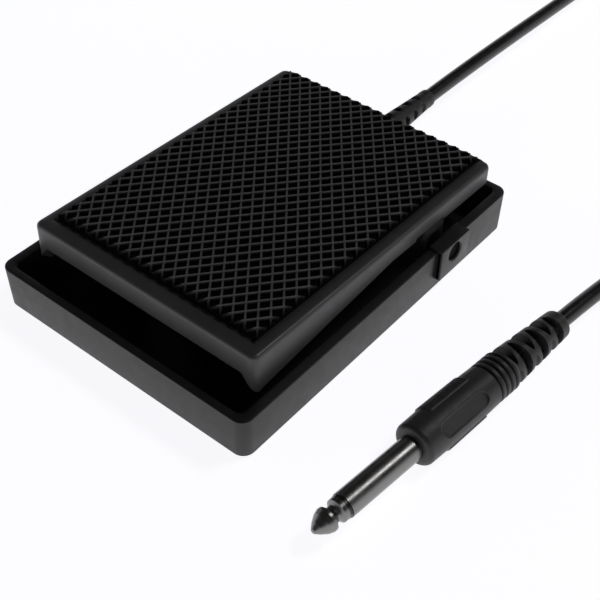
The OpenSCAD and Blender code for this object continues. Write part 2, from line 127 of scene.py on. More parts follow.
def loft(name, rings, caps=(True, True)):
    """A skin over rings of points, all with the same count."""
    n = len(rings[0])
    verts = [p for ring in rings for p in ring]
    faces = []
    for i in range(len(rings) - 1):
        a, b = i * n, (i + 1) * n
        faces += [(a + k, a + (k + 1) % n, b + (k + 1) % n, b + k) for k in range(n)]
    if caps[0]:
        faces.append(tuple(reversed(range(n))))
    if caps[1]:
        faces.append(tuple(range((len(rings) - 1) * n, len(rings) * n)))
    return new_object(name, verts, faces)


def outline(w, ends, r, corner=8, xs=(), ys=()):
    """Anticlockwise rounded rectangle of width w between ends[0] and ends[1] along Y.

    xs and ys add points on the straight edges."""
    corners = [(w / 2 - r, ends[1] - r), (-w / 2 + r, ends[1] - r),
               (-w / 2 + r, ends[0] + r), (w / 2 - r, ends[0] + r)]
    xs, ys = sorted(xs), sorted(ys)
    edges = [[(x, ends[1]) for x in reversed(xs)], [(-w / 2, y) for y in reversed(ys)],
             [(x, ends[0]) for x in xs], [(w / 2, y) for y in ys]]
    points = []
    for i, (cx, cy) in enumerate(corners):
        for s in range(corner + 1):
            a = math.radians(90 * (i + s / corner))
            points.append((cx + r * math.cos(a), cy + r * math.sin(a)))
        points += edges[i]
    return points


def flat_ring(points, z):
    return [(x, y, z) for x, y in points]


def slab(name, w, ends, r, z0, z1, soft=0.0):
    """Rounded rectangular plate from z0 to z1, its top and bottom edges rounded by soft."""
    steps = [(soft * (1 - s), soft * (1 - c)) for s, c in quarter(3)] if soft else [(0, 0)]

    def ring(inset, z):
        return flat_ring(outline(w - 2 * inset, (ends[0] + inset, ends[1] - inset), r - inset), z)

    lower = [ring(inset, z0 + rise) for inset, rise in steps]
    upper = [ring(inset, z1 - rise) for inset, rise in reversed(steps)]
    return loft(name, lower + upper)


def block(name, low, high, soft=0.0):
    """Box between two corners, with softened edges."""
    verts = [(x, y, z) for z in (low[2], high[2]) for y in (low[1], high[1]) for x in (low[0], high[0])]
    faces = [(0, 2, 3, 1), (4, 5, 7, 6), (0, 1, 5, 4), (2, 6, 7, 3), (0, 4, 6, 2), (1, 3, 7, 5)]
    obj = new_object(name, verts, faces)
    if soft:
        bevel(obj, soft)
        apply_modifiers(obj)
    return obj


def turned(name, profile, sides=48, axis="Z"):
    """Solid of revolution from (distance along, radius) points."""
    rings = []
    for along, radius in profile:
        ring = []
        for s in range(sides):
            a = 2 * math.pi * s / sides
            u, v = max(radius, 1e-3) * math.cos(a), max(radius, 1e-3) * math.sin(a)
            ring.append({"Z": (u, v, along), "Y": (v, along, u), "X": (along, u, v)}[axis])
        rings.append(ring)
    return loft(name, rings)


def wrapped(name, length, radius, step, sides):
    """Round body along +Y whose radius(along, angle) varies; angle 0 is +X and 90 degrees is +Z."""
    count = round(length / step)
    rings = []
    for i in range(count + 1):
        s = length * i / count
        ring = []
        for k in range(sides):
            a = 2 * math.pi * k / sides
            r = radius(s, a)
            ring.append((r * math.cos(a), s, r * math.sin(a)))
        rings.append(ring[::-1])
    return loft(name, rings)


def swept(name, points, radius, sides=24):
    """Round tube along a nearly level line of points."""
    angles = [2 * math.pi * k / sides for k in range(sides)]
    rings = []
    for i, p in enumerate(points):
        ahead = Vector(points[min(i + 1, len(points) - 1)]) - Vector(points[max(i - 1, 0)])
        side = ahead.cross(Vector((0, 0, 1))).normalized()
        up = side.cross(ahead).normalized()
        rings.append([Vector(p) + radius * (side * math.cos(a) + up * math.sin(a)) for a in reversed(angles)])
    return loft(name, rings)


def apply_modifiers(obj):
    graph = bpy.context.evaluated_depsgraph_get()
    mesh = bpy.data.meshes.new_from_object(obj.evaluated_get(graph))
    obj.modifiers.clear()
    obj.data = mesh


def bevel(obj, width, segments=3):
    m = obj.modifiers.new("soft_edges", "BEVEL")
    m.width = width
    m.segments = segments
    m.limit_method = "ANGLE"
    m.angle_limit = math.radians(30)
    m.use_clamp_overlap = True


def boolean(obj, other, operation):
    m = obj.modifiers.new("boolean", "BOOLEAN")
    m.object = other
    m.operation = operation
    m.solver = "EXACT"
    apply_modifiers(obj)
    bpy.data.objects.remove(other)
    return obj


def cut(obj, other):
    return boolean(obj, other, "DIFFERENCE")


def add(obj, other):
    return boolean(obj, other, "UNION")


def joined(name, *objs):
    """One object that holds the meshes of objs, not cut against each other."""
    bm = bmesh.new()
    for o in objs:
        bm.from_mesh(o.data)
        bpy.data.objects.remove(o)
    return from_bmesh(name, bm)


def weld(obj, distance=0.001):
    bm = bmesh.new()
    bm.from_mesh(obj.data)
    bmesh.ops.remove_doubles(bm, verts=bm.verts, dist=distance)
    bmesh.ops.recalc_face_normals(bm, faces=bm.faces)
    bm.to_mesh(obj.data)
    bm.free()
    return obj


def move(obj, x=0.0, y=0.0, z=0.0):
    obj.data.transform(Matrix.Translation((x, y, z)))
    return obj


def mirrored(obj):
    """Turns obj into its mirror image across the middle of the pedal."""
    obj.data.transform(Matrix.Scale(-1, 4, (1, 0, 0)))
    obj.data.flip_normals()
    return obj


def place(obj, body, material, slot, nodes=(), frame_at=LEVEL, sharp=35):
    """Puts a finished mm mesh in the row frame, with its shading, material, body and CAD nodes."""
    obj.data.transform(Matrix.Scale(MM, 4) @ frame_at)
    obj.data.polygons.foreach_set("use_smooth", [True] * len(obj.data.polygons))
    obj.data.set_sharp_from_angle(angle=math.radians(sharp))
    obj.data.materials.clear()
    obj.data.materials.append(material)
    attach(obj, body)
    if nodes:
        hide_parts(*nodes)


# ---- Materials ----

def grey(value):
    return (value, value, value * 1.03, 1)


def darker(tint, by):
    return tuple(c * by for c in tint[:3]) + (1,)


class Nodes:
    """A short way to write a node material: each call adds nodes and links their inputs."""

    def __init__(self, name):
        self.material = bpy.data.materials.new(name)
        self.material.use_nodes = True
        self.tree = self.material.node_tree
        self.tree.nodes.clear()
        self.where = self.add("ShaderNodeTexCoord").outputs["Object"]

    def connect(self, socket, value):
        if isinstance(value, bpy.types.NodeSocket):
            self.tree.links.new(value, socket)
        else:
            socket.default_value = value

    def add(self, kind, inputs=None, **settings):
        node = self.tree.nodes.new(kind)
        for key, value in settings.items():
            setattr(node, key, value)
        for key, value in (inputs or {}).items():
            self.connect(node.inputs[key], value)
        return node

    def noise(self, size_mm, detail=3.0, rough=0.5, stretch=(1, 1, 1)):
        """Fractal noise whose main features are about size_mm across."""
        where = self.add("ShaderNodeMapping", {"Vector": self.where, "Scale": stretch}).outputs[0]
        return self.add("ShaderNodeTexNoise", {"Vector": where, "Scale": 1 / (size_mm * MM), "Detail": detail,
                                               "Roughness": rough}).outputs["Fac"]

    def spread(self, value, low, high, low_in=0.3, high_in=0.7):
        return self.add("ShaderNodeMapRange", {"Value": value, "From Min": low_in, "From Max": high_in,
                                               "To Min": low, "To Max": high}).outputs["Result"]

    def times(self, a, b):
        return self.add("ShaderNodeMath", {0: a, 1: b}, operation="MULTIPLY", use_clamp=True).outputs[0]

    def blend(self, value, a, b):
        node = self.add("ShaderNodeMix", data_type="RGBA")
        self.connect(node.inputs[0], value)
        self.connect(node.inputs[6], a)
        self.connect(node.inputs[7], b)
        return node.outputs[2]

    def edges(self, radius_mm):
        """1 along convex and concave edges and 0 on flats, from the rounded normal."""
        soft = self.add("ShaderNodeBevel", {"Radius": radius_mm * MM}, samples=4).outputs[0]
        hard = self.add("ShaderNodeNewGeometry").outputs["Normal"]
        dot = self.add("ShaderNodeVectorMath", {0: soft, 1: hard}, operation="DOT_PRODUCT").outputs["Value"]
        return self.spread(dot, 1, 0, 0.85, 0.99)

    def open_to_light(self, reach_mm):
        """1 on open surfaces and 0 deep in slots narrower than about reach_mm, from ambient occlusion; it masks
        painted shade.
        """
        seen = self.add("ShaderNodeAmbientOcclusion", {"Distance": reach_mm * MM}, samples=4).outputs["AO"]
        return self.spread(seen, 0, 1, 0.35, 0.85)

    def bump(self, height, depth_mm):
        return self.add("ShaderNodeBump", {"Height": height, "Distance": depth_mm * MM}).outputs["Normal"]

    def finish(self, **inputs):
        named = {k.replace("_", " "): v for k, v in inputs.items()}
        shader = self.add("ShaderNodeBsdfPrincipled", named)
        self.add("ShaderNodeOutputMaterial", {"Surface": shader.outputs[0]})
        return self.material


def moulded_plastic(name, shade, rough, grain_mm=0.3, grain_depth=0.02, wear=0.0, painted_shade_slots_mm=0.0):
    """Black moulded plastic: spark-eroded grain, slow changes of shade and shine.

    Where wear is set, edges are rubbed paler. Where the slot width is set, slots narrower than that get painted
    shade: their colour turns black and their shine is taken away."""
    n = Nodes(name)
    slow = n.noise(14.0, 3.0)
    colour = n.blend(n.spread(slow, 0, 1), grey(shade * 0.88), grey(shade * 1.14))
    if wear:
        scuffs = n.times(n.edges(0.4), n.spread(n.noise(2.5, 5.0, 0.6), 0, wear))
        colour = n.blend(scuffs, colour, grey(shade * 5))
    roughness = n.spread(n.noise(3.0, 4.0), rough - 0.04, rough + 0.05)
    shine = 0.5
    # Painted shade: ambient occlusion darkens slots nearly to black and takes away their shine.
    if painted_shade_slots_mm:
        lit = n.open_to_light(painted_shade_slots_mm)
        colour = n.blend(lit, grey(shade * 0.1), colour)
        shine = n.times(lit, 0.5)
    return n.finish(Base_Color=colour, Roughness=roughness, IOR=1.5, Specular_IOR_Level=shine,
                    Normal=n.bump(n.noise(grain_mm, 2.0), grain_depth))


def rubber(name, shade, rough, grain_mm=0.18, grain_depth=0.03):
    n = Nodes(name)
    colour = n.blend(n.spread(n.noise(1.6, 4.0, 0.6), 0, 1), grey(shade * 0.8), grey(shade * 1.25))
    return n.finish(Base_Color=colour, Roughness=n.spread(n.noise(0.8, 3.0), rough - 0.06, rough + 0.06),
                    Normal=n.bump(n.noise(grain_mm, 2.0), grain_depth), IOR=1.45)


def dull_plastic(name, shade):
    """Black plastic with hardly any shine."""
    n = Nodes(name)
    grain = n.noise(0.5, 3.0)
    colour = n.blend(n.spread(grain, 0, 1), grey(shade * 0.7), grey(shade * 1.3))
    return n.finish(Base_Color=colour, Roughness=n.spread(grain, 0.7, 0.85), Specular_IOR_Level=0.08,
                    Normal=n.bump(grain, 0.01))


def ribbed_rubber(name, crest, wall, floor):
    """Rubber whose rib crests are paler, partly as scuffs from shoes and partly as painted light where the crests
    catch it, while painted shade keeps the cell floors black.
    """
    n = Nodes(name)
    height = n.add("ShaderNodeAttribute", attribute_name="rib_height").outputs["Fac"]
    scuff = n.spread(n.noise(3.0, 5.0, 0.65), 0.72, 1.1)
    # Painted shade: the colour darkens from the crests down the walls to nearly black cell floors.
    side = n.blend(n.spread(height, 0, 1, 0.3, 0.82), grey(floor), grey(wall))
    # Crests painted paler: partly scuffs from shoes, varied by noise, and partly painted light.
    crest_wear_and_light = n.times(n.spread(height, 0, 1, 0.82, 0.96), scuff)
    lint = n.spread(n.noise(0.5, 1.0), 0, 0.5, 0.77, 0.83)
    colour = n.blend(lint, n.blend(crest_wear_and_light, side, grey(crest)), grey(crest * 2.5))
    # Painted shade as well: the cells lose their shine.
    return n.finish(Base_Color=colour, Roughness=n.spread(height, 0.95, 0.55, 0, 1),
                    Specular_IOR_Level=n.spread(height, 0.05, 0.5, 0.3, 0.9),
                    Normal=n.bump(n.noise(0.2, 2.0), 0.02), IOR=1.45)


def plated(name, tint, rough):
    """Plated metal with faint turning marks and smudges."""
    n = Nodes(name)
    smudge = n.noise(2.5, 5.0, 0.6)
    marks = n.noise(0.25, 2.0, 0.5, (1, 6, 1))
    return n.finish(Base_Color=n.blend(n.spread(smudge, 0, 1), darker(tint, 0.86), tint), Metallic=1.0,
                    Roughness=n.spread(smudge, rough, rough + 0.10), Normal=n.bump(marks, 0.0015))


def coloured_plastic(name, tint, rough):
    n = Nodes(name)
    slow = n.noise(1.5, 3.0)
    colour = n.blend(n.spread(slow, 0, 1), darker(tint, 0.85), tint)
    return n.finish(Base_Color=colour, Roughness=n.spread(slow, rough - 0.05, rough + 0.08), IOR=1.5,
                    Normal=n.bump(n.noise(0.3, 2.0), 0.01))


def laminate(name):
    """Paper laminate board with long fibres."""
    n = Nodes(name)
    fibres = n.noise(0.35, 4.0, 0.6, (1, 8, 1))
    colour = n.blend(n.spread(fibres, 0, 1), (0.20, 0.11, 0.035, 1), (0.36, 0.22, 0.08, 1))
    return n.finish(Base_Color=colour, Roughness=0.5, Normal=n.bump(fibres, 0.01), IOR=1.5)


TRAY_PLASTIC = moulded_plastic("tray_plastic", 0.009, 0.42, grain_mm=0.35, grain_depth=0.020, wear=0.5)
TREAD_PLASTIC = moulded_plastic("tread_plastic", 0.050, 0.38, grain_mm=0.35, grain_depth=0.004, wear=0.15)
# The floor and wall tones are painted shade. The crest tone is partly scuffs and partly painted light.
PAD_RUBBER = ribbed_rubber("pad_rubber", crest=0.125, wall=0.032, floor=0.004)
PLAIN_RUBBER = rubber("plain_rubber", 0.018, 0.75)
# The boot's slots get painted shade: ambient occlusion darkens them to black.
BOOT_RUBBER = moulded_plastic("boot_rubber", 0.013, 0.48, grain_mm=0.3, grain_depth=0.010, painted_shade_slots_mm=2.5)
CABLE_PVC = moulded_plastic("cable_pvc", 0.006, 0.28, grain_mm=1.2, grain_depth=0.006)
# The plug handle's slots get painted shade: ambient occlusion darkens them to black.
PLUG_PLASTIC = moulded_plastic("plug_plastic", 0.022, 0.46, grain_mm=0.35, grain_depth=0.055, wear=0.5,
                               painted_shade_slots_mm=2.5)
PIN_PLASTIC = dull_plastic("pin_plastic", 0.002)
NICKEL = plated("nickel", (0.24, 0.236, 0.232, 1), 0.26)
STEEL = plated("steel", (0.50, 0.50, 0.50, 1), 0.28)
BRASS = plated("brass", (0.72, 0.52, 0.22, 1), 0.25)
BUSH_PLASTIC = coloured_plastic("bush_plastic", (0.008, 0.008, 0.008, 1), 0.3)


# ---- Tray ----

TRAY_FLOOR = 3.0
TRAY_R = 3.2             # radius of the tray's outer corners
SIDE_WALL = 2.8
END_WALL = 2.3
PROUD = 1.5              # how far the hinge bosses stand out from the side walls
BOSS_HALF = 6.2          # half length of a hinge boss along the tray
BOSS_LOW = 3.8           # underside of a boss's proud part
BOSS_RISE = 0.75         # how far a boss stands above the rim
BOSS_SKIN = 0.5          # wall left round the pocket in a boss's front end
POCKET = 2.4             # depth of that pocket
MAT_R = 2                # radius of the mat's corners


def tray_shell(low, high, w):
    """Open box with drafted walls, a flat rim with softened edges and a coved floor."""
    rim = high[2] - BOSS_RISE
    draft, soft, lip, cove = 0.18, 0.22, 0.25, 0.8
    inner_r, floor_r = 1.7, 1.5

    def ring(inset_x, inset_y, z, r):
        return flat_ring(outline(w - 2 * inset_x, (low[1] + inset_y, high[1] - inset_y), r), z)

    rings = [ring(draft + soft, draft + soft, low[2], TRAY_R - soft),
             ring(draft, draft, low[2] + soft, TRAY_R)]
    for s, c in quarter(3):
        inset = soft * (1 - c)
        rings.append(ring(inset, inset, rim - soft * (1 - s), TRAY_R - inset))
    for s, c in reversed(quarter(3)):
        inset = lip * (1 - c)
        rings.append(ring(SIDE_WALL - inset, END_WALL - inset, rim - lip * (1 - s), inner_r + inset))
    for s, c in quarter(3):
        inset = draft + cove * (1 - c)
        rings.append(ring(SIDE_WALL + inset, END_WALL + inset, TRAY_FLOOR + cove * (1 - s), floor_r - inset))
    return loft("tray", rings)


def hinge_bore(outer):
    """Cutter for a pin's bore, with a small lead-in at its outer mouth."""
    clearance, depth, lead_in, flare = 0.05, 9, 0.35, 0.5
    bore = extent("hinge_pins")[1][2] - HINGE[2] + clearance
    mouth = outer - lead_in + flare
    profile = [(outer - depth, bore), (outer - lead_in, bore),
               (mouth, bore + flare), (outer + 2, bore + flare)]
    return move(turned("bore", profile, 64, "X"), 0, HINGE[1], HINGE[2])


def tray():
    low, high = extent("base_tray")
    w = 2 * (high[0] - PROUD)
    body = tray_shell(low, high, w)
    y = (HINGE[1] - BOSS_HALF, HINGE[1] + BOSS_HALF)
    outside, root, soft = w / 2, 0.6, 0.2
    for turn in (lambda part: part, mirrored):
        top_to = (outside - root, y[1], high[2])
        add(body, turn(block("boss_top", (outside - SIDE_WALL, y[0], TRAY_FLOOR), top_to, soft)))
        add(body, turn(block("boss", (outside - 2 * root, y[0], BOSS_LOW), (high[0], y[1], high[2]), soft)))
        pocket = block("pocket", (outside + 0.1, y[0] - 1, BOSS_LOW + BOSS_SKIN),
                       (high[0] - BOSS_SKIN, y[0] + POCKET, high[2] - BOSS_SKIN))
        cut(body, turn(pocket))
        cut(body, turn(hinge_bore(high[0])))
    boot_at = centre("cable_boot")
    neck = 3.55
    outlet = turned("outlet", [(high[1] - 6, neck), (high[1] + 2, neck)], 48, "Y")
    cut(body, move(outlet, boot_at[0], 0, boot_at[2]))
    mat_low, mat_high = extent("base_mat")
    gap = 0.1
    ends = (mat_low[1] - gap, mat_high[1] + gap)
    return cut(body, slab("recess", 2 * (mat_high[0] + gap), ends, MAT_R, -1, mat_high[2] + gap / 2))


def cable_saddle():
    """Block with a round channel that the cable is clamped in."""
    low, high = extent("cable_clamp")
    boot_at = centre("cable_boot")
    saddle = block("saddle", (low[0], low[1], TRAY_FLOOR - 0.1), (high[0], high[1], boot_at[2]), 0.2)
    channel = turned("channel", [(low[1] - 5, CABLE_R + 0.02), (high[1] + 5, CABLE_R + 0.02)], 48, "Y")
    return cut(saddle, move(channel, boot_at[0], 0, boot_at[2]))


def catch():
    """Upright hook that holds the tread at rest."""
    x, front, back, reach = (9, 15), -36.5, -34.5, -32
    top, thick, overlap = 11.5, 1.6, 0.1
    post = block("catch", (x[0], front, TRAY_FLOOR - overlap), (x[1], back, top))
    return add(post, block("ledge", (x[0], back - overlap, top - thick), (x[1], reach, top)))


def tray_inside():
    """Posts, spigot, saddle and catches that stand on the tray's floor."""
    board_low, board_high = extent("switch_board")
    screws_low, screws_high = extent("board_screws")
    spring = centre("return_spring")
    head_r, rear_gap = 2.2, 3
    post = [(TRAY_FLOOR - 0.1, 2.9), (TRAY_FLOOR + 0.5, 2.5), (board_low[2], 2.45)]
    spigot = [(TRAY_FLOOR - 0.1, 4.4), (TRAY_FLOOR + 0.4, 4), (6.3, 4), (7, 3.3)]
    parts = [cable_saddle(), catch(), mirrored(catch()), move(turned("spigot", spigot), spring[0], spring[1])]
    for x in (screws_low[0] + head_r, screws_high[0] - head_r):
        for y in (screws_low[1] + head_r, board_high[1] - rear_gap):
            parts.append(move(turned("post", post), x, y))
    return joined("tray_inside", *parts)


def mat():
    """Non-slip sheet under the tray, with rows of shallow grip bars."""
    low, high = extent("base_mat")
    margin, rows, bar, stand, thick = 4, 24, 1.6, 0.35, 0.8
    parts = [slab("mat", 2 * high[0], (low[1], high[1]), MAT_R, low[2] + stand, high[2], 0.3)]
    for i in range(rows + 1):
        y = mix(low[1] + margin, high[1] - margin, i / rows)
        ends = (y - bar / 2, y + bar / 2)
        parts.append(slab("bar", 2 * (high[0] - margin), ends, 0.75, low[2], low[2] + thick, 0.25))
    return joined("mat", *parts)


# ---- Tread ----

SHELL_R = 2.0            # radius of the shell's corners
SHELL_EDGE = 1.15        # radius of its top outer edge
SHELL_WALL = 2.2
SEAT_DEPTH = 0.6         # depth of the recess that the pad sits in
SKIRT = 5.8              # how far the side skirts reach below the top, behind the knee
NOTCH_RISE = 0.9         # how much higher they end over the hinge bosses
SIDE_FRONT = 11.8        # their reach at the front
FRONT_SKIRT = 7          # reach of the front skirt between its legs
LEG = (12.0, 3.8)        # reach and width of the leg at each end of the front skirt
NOTCH = (HINGE[1] - BOSS_HALF - 3.6, HINGE[1] + BOSS_HALF - 3.9)
KNEE = HINGE[1] - 20     # the side skirts rise as far as this, then run level


def skirt_line(x, y, w, ends, top):
    """Height of the skirt's lower edge, at a point of the tread's outline."""
    level = top - SKIRT
    if NOTCH[0] < y < NOTCH[1]:
        return level + NOTCH_RISE
    if y < ends[0] + SHELL_R + 0.5:
        return line_through([(0, top - LEG[0]), (LEG[1], top - FRONT_SKIRT)], w / 2 - abs(x))
    return line_through([(ends[0], top - SIDE_FRONT), (KNEE, level), (ends[1], level)], y)


def tread():
    low, high = extent("tread_shell", TREAD)
    pad_low, pad_high = extent("tread_pad", TREAD)
    w, ends, top = 2 * high[0], (low[1], high[1]), high[2]
    step = 0.06          # half width of the step at each end of a notch
    ys = [ends[0] + 4, ends[0] + 12, KNEE, ends[1] - 6] + [y + d for y in NOTCH for d in (-step, step)]
    leg_end = w / 2 - LEG[1]
    xs = [side * x for x in (leg_end - 0.1, leg_end - 0.6, 20, 10) for side in (-1, 1)]
    skirt = [skirt_line(x, y, w, ends, top) for x, y in outline(w, ends, SHELL_R, 8, xs, ys)]

    def ring(side, front, rear, z=None, lift=0.0):
        """Outline inset by these amounts; without z it follows the skirt's lower edge."""
        radius = max(0.35, SHELL_R - side)
        points = outline(w - 2 * side, (ends[0] + front, ends[1] - rear), radius, 8, xs, ys)
        return [(x, y, edge + lift if z is None else z) for (x, y), edge in zip(points, skirt)]

    inner = [SHELL_WALL] * 3
    soft, crown = 0.25, 0.3
    rear_share = 0.55    # the rear edge is rounded less than the others
    rings = [ring(*inner), ring(soft, soft, soft), ring(0, 0, 0, lift=soft)]
    for s, c in quarter(6):
        inset = SHELL_EDGE * (1 - c)
        rings.append(ring(inset, inset, inset * rear_share, top - crown - SHELL_EDGE * (1 - s)))
    # The crowned border drops into the recess round the pad
    side = w / 2 - pad_high[0] - 0.7
    front = pad_low[1] - ends[0] - 1.3
    rear = ends[1] - pad_high[1] - 0.6
    for out, down in ((0.3, 0.0), (0.08, 0.08), (0.0, 0.3), (0.0, SEAT_DEPTH), (-1.5, SEAT_DEPTH)):
        rings.append(ring(side - out, front - out, rear - out, top - down))
    shell = loft("tread", rings, (False, True))
    under = loft("under", [ring(*inner)[::-1], ring(*inner, top - SHELL_WALL)[::-1]], (False, True))
    return weld(joined("tread", shell, under))


def both_sides(part):
    """A part and its mirror image."""
    other = part.copy()
    other.data = part.data.copy()
    bpy.context.scene.collection.objects.link(other)
    return [part, mirrored(other)]


def ear(ceiling):
    """Lug that turns on a hinge pin."""
    inner_x, half, drop, side_gap, soft = 31.1, 4.5, 4, 0.9, 0.4
    outer_x = extent("tread_shell", TREAD)[1][0] - side_gap
    lug = block("ear", (inner_x, HINGE[1] - half, HINGE[2] - drop), (outer_x, HINGE[1] + half, ceiling), soft)
    pin_r = extent("hinge_pins")[1][2] - HINGE[2] + 0.02
    hole = turned("hole", [(inner_x - 1, pin_r), (outer_x + 5, pin_r)], 48, "X")
    return cut(lug, move(hole, 0, HINGE[1], HINGE[2]))


def rib(ceiling):
    """Stiffening rib along the underside."""
    low, high = extent("tread_shell", TREAD)
    x, depth, end_gap, soft = (17, 18.5), 2.4, 1.2, 0.2
    return block("rib", (x[0], low[1] + end_gap, ceiling - depth), (x[1], high[1] - end_gap, ceiling), soft)


def hook(ceiling):
    """Arm whose toe comes up under a catch of the tray."""
    x, arm_y, toe_y = (9.5, 14.5), (-31, -29.3), (-33.3, -30.9)
    bottom, thick = 8.2, 1.2
    arm = block("hook", (x[0], arm_y[0], bottom), (x[1], arm_y[1], ceiling))
    return add(arm, block("toe", (x[0], toe_y[0], bottom), (x[1], toe_y[1], bottom + thick)))


def foot(ceiling):
    """Post that lands on a rubber stop."""
    x, bottom = 22, 12.1
    profile = [(bottom, 2.7), (bottom + 0.3, 3), (ceiling, 3.2)]
    return move(turned("foot", profile), x, centre("stop_bumpers", TREAD)[1])


def spring_seat(ceiling):
    """Round seat for the top of the return spring."""
    bottom, radius = 16.9, 7
    at = centre("return_spring", TREAD)
    return move(turned("spring_seat", [(bottom, radius), (ceiling, radius)]), at[0], at[1])


def press(ceiling):
    """Round-tipped stem that pushes the switch's plunger down."""
    gap, tip_r = 0.1, 2
    at = centre("switch_plunger", TREAD)
    touch = extent("switch_plunger", TREAD)[1][2] + gap
    profile = [(touch + tip_r * (1 - c), tip_r * s) for s, c in quarter(6)] + [(ceiling, tip_r)]
    return move(turned("press", profile), at[0], at[1])


def tread_inside():
    """What is moulded under the tread, in its level frame. It overlaps the tread's top wall a little."""
    overlap = 0.1
    ceiling = extent("tread_shell", TREAD)[1][2] - SHELL_WALL + overlap
    parts = [p for part in (ear, rib, hook, foot) for p in both_sides(part(ceiling))]
    return joined("tread_inside", *parts, spring_seat(ceiling), press(ceiling))


# ---- Pad ----

RIB_ANGLE = math.radians(51)     # of both rib families, to the tread's width
RIB_PITCH = 2.85
RIB_HEIGHT = 1.0
# Across a rib: distance from its middle, and height. The ribs of one family stand a little lower.
TALL_RIB = ((-0.42, 0.0), (-0.26, 0.86), (-0.16, 1.0), (0.16, 1.0), (0.26, 0.86), (0.42, 0.0))
LOW_RIB = ((-0.40, 0.0), (-0.25, 0.80), (-0.15, 0.90), (0.15, 0.90), (0.25, 0.80), (0.40, 0.0))


def rib_lines(profile, reach):
    """Places across a rib family where its profile turns, with the profile's height there."""
    count = math.ceil(reach / RIB_PITCH)
    return [(k * RIB_PITCH + offset, height) for k in range(-count, count + 1) for offset, height in profile]


def rib_grid(half, top):
    """Crossing ribs as one surface whose edges follow both rib families."""
    reach = math.hypot(half[0], half[1])
    sin, cos = math.sin(RIB_ANGLE), math.cos(RIB_ANGLE)
    bm = bmesh.new()
    grid = {}
    for i, (u, hu) in enumerate(rib_lines(TALL_RIB, reach)):
        for j, (v, hv) in enumerate(rib_lines(LOW_RIB, reach)):
            x, y = (v - u) / (2 * sin), (u + v) / (2 * cos)
            if abs(x) < half[0] + 5 and abs(y) < half[1] + 5:
                grid[i, j] = bm.verts.new((x, y, top - RIB_HEIGHT * (1 - max(hu, hv))))
    for i, j in list(grid):
        corners = [grid.get(k) for k in ((i, j), (i + 1, j), (i + 1, j + 1), (i, j + 1))]
        if all(corners):
            bm.faces.new(corners)
    return bm


def pad():
    """Ribbed rubber sheet, cut square through its ribs at the edges, which are rounded down."""
    low, high = extent("tread_pad", TREAD)
    half, middle = (high - low) / 2, (high + low) / 2
    bm = rib_grid(half, high[2])
    roll, drop = 1.4, 0.5
    for side in ((1, 0, 0), (-1, 0, 0), (0, 1, 0), (0, -1, 0)):
        normal = Vector(side)
        reach = abs(normal.dot(Vector(half)))
        for inset in (0, roll / 3, roll):
            bmesh.ops.bisect_plane(bm, geom=bm.verts[:] + bm.edges[:] + bm.faces[:], dist=1e-5,
                                   plane_co=normal * (reach - inset), plane_no=normal, clear_outer=inset == 0)
    for v in bm.verts:
        v.co.z -= drop * (1 - ease(min(half[0] - abs(v.co.x), half[1] - abs(v.co.y)) / roll))
    skirt = bmesh.ops.extrude_edge_only(bm, edges=[e for e in bm.edges if e.is_boundary])["geom"]
    for v in (g for g in skirt if isinstance(g, bmesh.types.BMVert)):
        v.co.z = low[2] - SEAT_DEPTH + 0.03
    bmesh.ops.holes_fill(bm, edges=[e for e in bm.edges if e.is_boundary], sides=0)
    bmesh.ops.recalc_face_normals(bm, faces=bm.faces)
    obj = move(from_bmesh("pad", bm), middle[0], middle[1])
    heights = obj.data.attributes.new("rib_height", "FLOAT", "POINT")
    heights.data.foreach_set("value", [clamp(1 - (high[2] - v.co.z) / RIB_HEIGHT) for v in obj.data.vertices])
    return obj


# ---- Lead ----

CABLE_R = 2.27
CABLE_SLIM = 0.06        # the cable's skin is this much slimmer, which keeps it inside the CAD box
JACKET_END = 34.0        # where the jacket is stripped, inside the tray
LOOP_Y = 175.0           # where the cable turns back
DRIFT = 0.6              # how far it wanders sideways on its way to the turn
SETTLE = 200.0           # length over which it settles to the floor behind the boot
SINK = 60.0              # length over which it sinks from the plug to the floor


def boot_axis():
    """Place of the cable's axis at the tray, as x and z."""
    at = centre("cable_boot")
    return at[0], at[2]


BOOT_R = (4.17, 2.6)             # the boot's radius at the tray and at its end
BOOT_TURN = math.radians(15)     # how far the boot's rows of slots are turned about the cable
BOOT_SLOTS = [5.0 + 4.4 * i for i in range(5)]
BOOT_SLOT = (1.05, 1.8)          # half length of a slot along the cable, and half width round it
BOOT_FLOOR = 2.36                # radius of the slots' floors
NECK_R = 3.5                     # radius of the boot where it passes through the tray's wall


def boot():
    """Tapered strain relief with four rows of oval slots."""
    wall, end = extent("base_tray")[1][1], extent("cable_boot")[1][1]
    length = end - wall
    collar, collar_l, tip = 0.10, 2.4, 0.35

    def radius(s, a):
        to_end = length - s
        r = mix(BOOT_R[0], BOOT_R[1], clamp(s / length))
        r += collar * ease((collar_l - to_end) / 0.3)
        r -= 0.30 * ease((tip - to_end) / tip)
        for turn in range(4):
            off = math.remainder(a - BOOT_TURN - math.pi / 2 * turn, 2 * math.pi) * r
            for middle in BOOT_SLOTS:
                outward = math.hypot((s - middle) / BOOT_SLOT[0], off / BOOT_SLOT[1])
                r = mix(min(r, BOOT_FLOOR), r, ease((outward - 0.80) / 0.28))
        return r

    return move(wrapped("boot", length, radius, 0.2, 96), boot_axis()[0], wall, boot_axis()[1])


def boot_flange():
    """The part of the boot inside the tray's wall."""
    low, high = extent("cable_boot")
    wall = extent("base_tray")[1][1]
    outer = (high[0] - low[0]) / 2
    profile = [(low[1], outer - 0.3), (low[1] + 0.3, outer), (wall - END_WALL - 0.05, outer),
               (wall - END_WALL, NECK_R), (wall + 0.02, NECK_R)]
    return move(turned("boot_flange", profile, 64, "Y"), boot_axis()[0], 0, boot_axis()[1])


